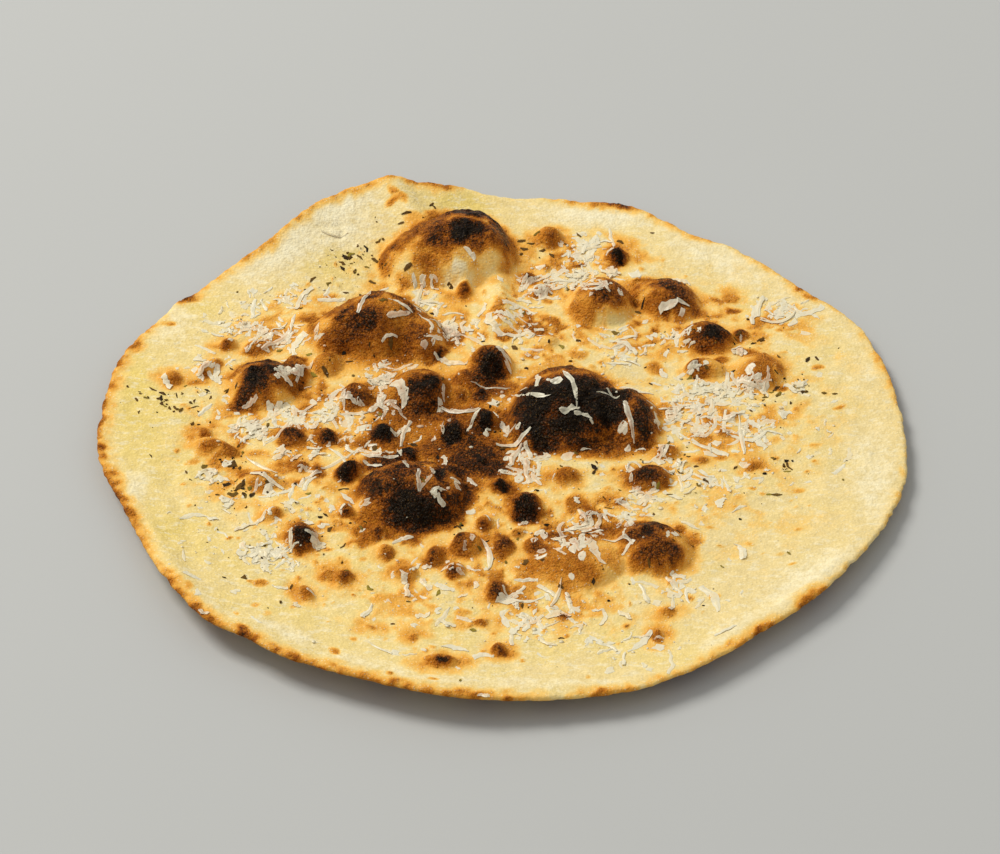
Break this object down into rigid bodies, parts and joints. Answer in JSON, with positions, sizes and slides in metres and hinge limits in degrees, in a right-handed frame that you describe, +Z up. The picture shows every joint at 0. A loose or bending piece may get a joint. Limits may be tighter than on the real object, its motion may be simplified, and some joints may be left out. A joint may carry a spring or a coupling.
{
  "type": "focaccia",
  "caption": "Thin round focaccia with a lifted uneven rim, browned and burnt blisters, and baked-on cheese shreds and herb flakes.",
  "frame": {"origin": "middle of the bread's footprint, on the surface that it lies on", "axes": "+X to the right along the bread's longest width, +Y away from the side that faces the viewer, +Z up out of the blistered face"},
  "size_m": [0.278, 0.2668, 0.0193],
  "materials": {
    "crust": "baked dough, matt, pale gold with browned and burnt blisters"
  },
  "bodies": {
    "root": {"focaccia": "crust"}
  },
  "joints": []
}
